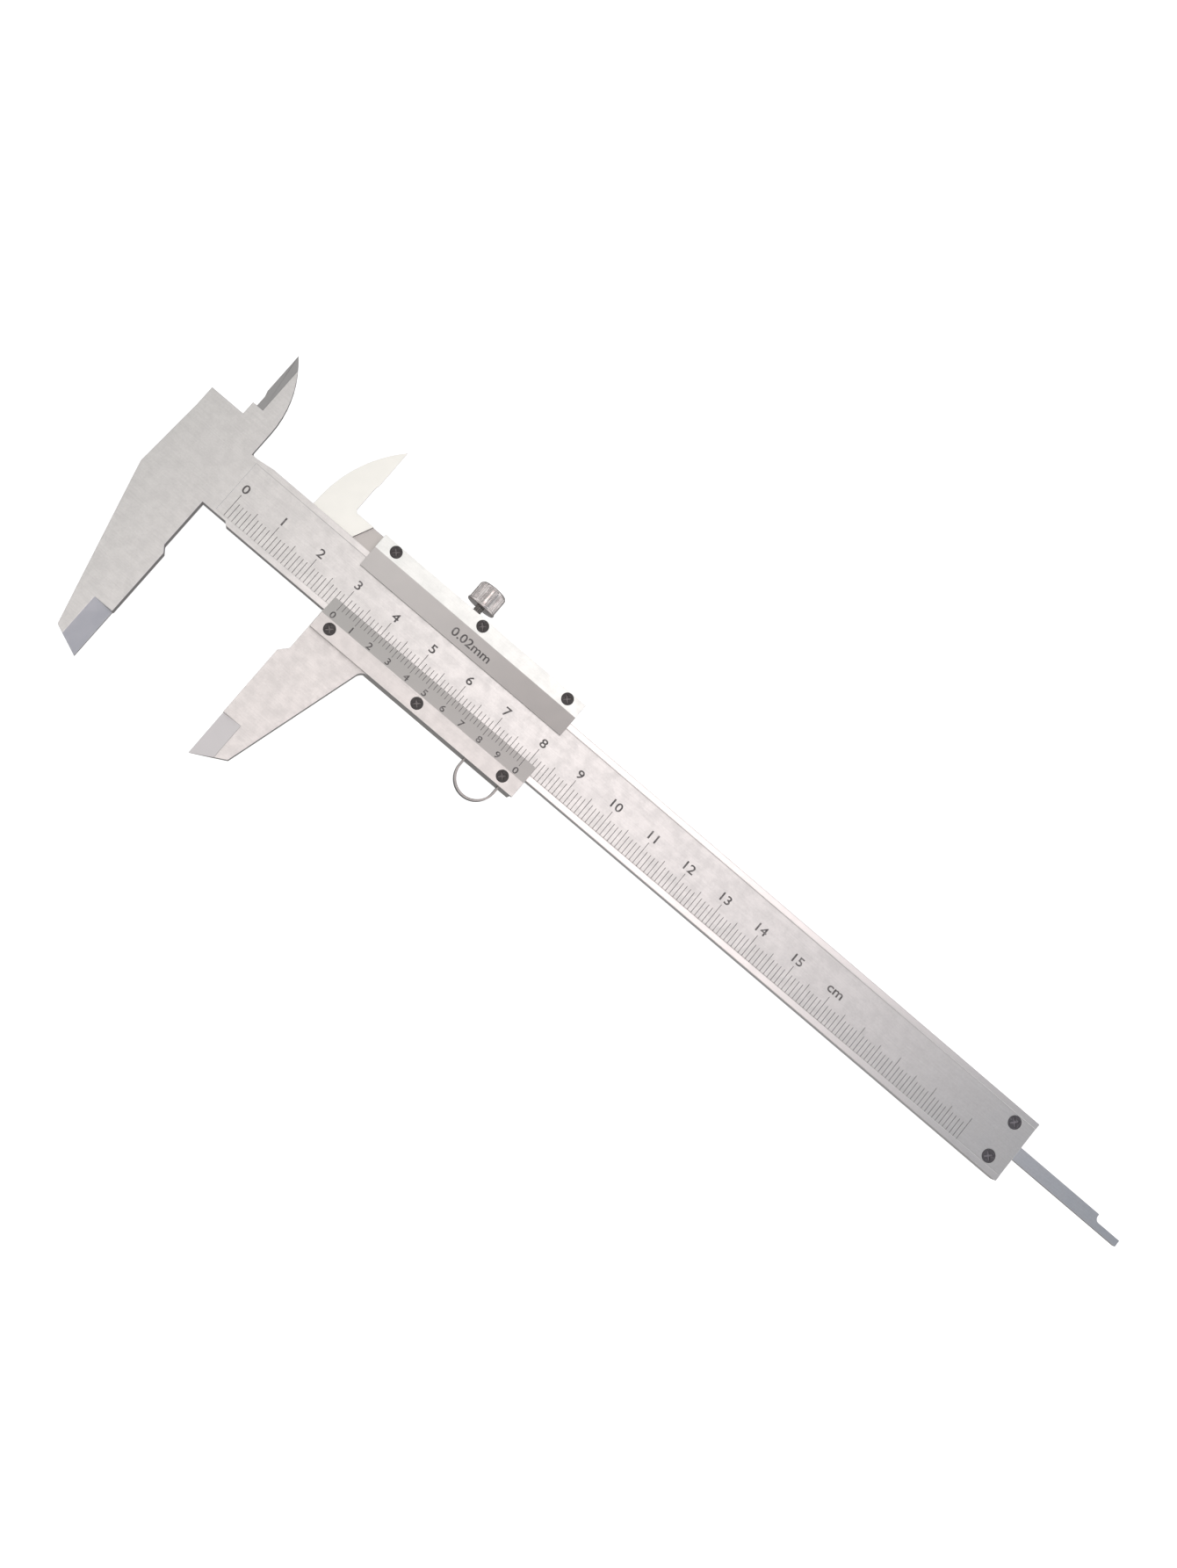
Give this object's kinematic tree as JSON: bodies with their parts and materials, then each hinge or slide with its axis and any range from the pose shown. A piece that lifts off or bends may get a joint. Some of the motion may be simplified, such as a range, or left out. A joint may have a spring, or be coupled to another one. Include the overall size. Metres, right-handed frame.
{
  "type": "vernier caliper",
  "caption": "Vernier caliper with outside and inside jaws, a sliding frame with bevelled front plates, a lock screw, a thumb ring and a stepped depth rod.",
  "frame": {"origin": "centre of the fixed outside jaw's measuring face, at the middle of the beam's thickness", "axes": "+X along the beam, from the fixed measuring face towards the depth rod's tip; +Y across the beam, from the outside jaws towards the inside jaws; +Z out of the scale face"},
  "size_m": [0.2621, 0.0769, 0.0079],
  "materials": {
    "beam_steel": "satin chromed steel, finely lapped",
    "slider_steel": "bright ground steel",
    "plate_steel": "bright face with a satin bevel",
    "screw_black": "black oxide",
    "rod_steel": "satin",
    "nickel": "bright nickel",
    "spring_bronze": "rolled strip",
    "shoe_brass": "turned"
  },
  "bodies": {
    "beam": {"main_beam": "beam_steel", "end_stop_plate": "beam_steel", "end_screw_1": "screw_black", "end_screw_2": "screw_black"},
    "slider": {"slider_body": "slider_steel", "vernier_plate": "plate_steel", "upper_plate": "plate_steel", "vernier_plate_screw_1": "screw_black", "vernier_plate_screw_2": "screw_black", "vernier_plate_screw_3": "screw_black", "upper_plate_screw_1": "screw_black", "upper_plate_screw_2": "screw_black", "upper_plate_screw_3": "screw_black", "leaf_spring": "spring_bronze", "thumb_ring": "nickel", "depth_rod": "rod_steel", "depth_rod_screw_1": "screw_black", "depth_rod_screw_2": "screw_black"},
    "lock_shoe": {"lock_shoe": "shoe_brass"},
    "lock_screw": {"lock_screw": "nickel", "lock_knob": "nickel"}
  },
  "joints": [
    {"name": "slider_slide", "type": "slide", "parent": "beam", "child": "slider", "axis": [1, 0, 0], "range_m": [-0.02999, 0.12]},
    {"name": "lock_shoe_lift", "type": "slide", "parent": "slider", "child": "lock_shoe", "axis": [0, 1, 0], "range_m": [-0.0002, 0.0004]},
    {"name": "lock_turn", "type": "hinge", "parent": "lock_shoe", "child": "lock_screw", "pos_m": [0.0557, 0.04785, 0], "axis": [0, 1, 0], "range_deg": [-180, 360]}
  ],
  "couplings": [
    {"joint": "lock_turn", "follows": "lock_shoe_lift", "rad_per_m": 15708}
  ]
}
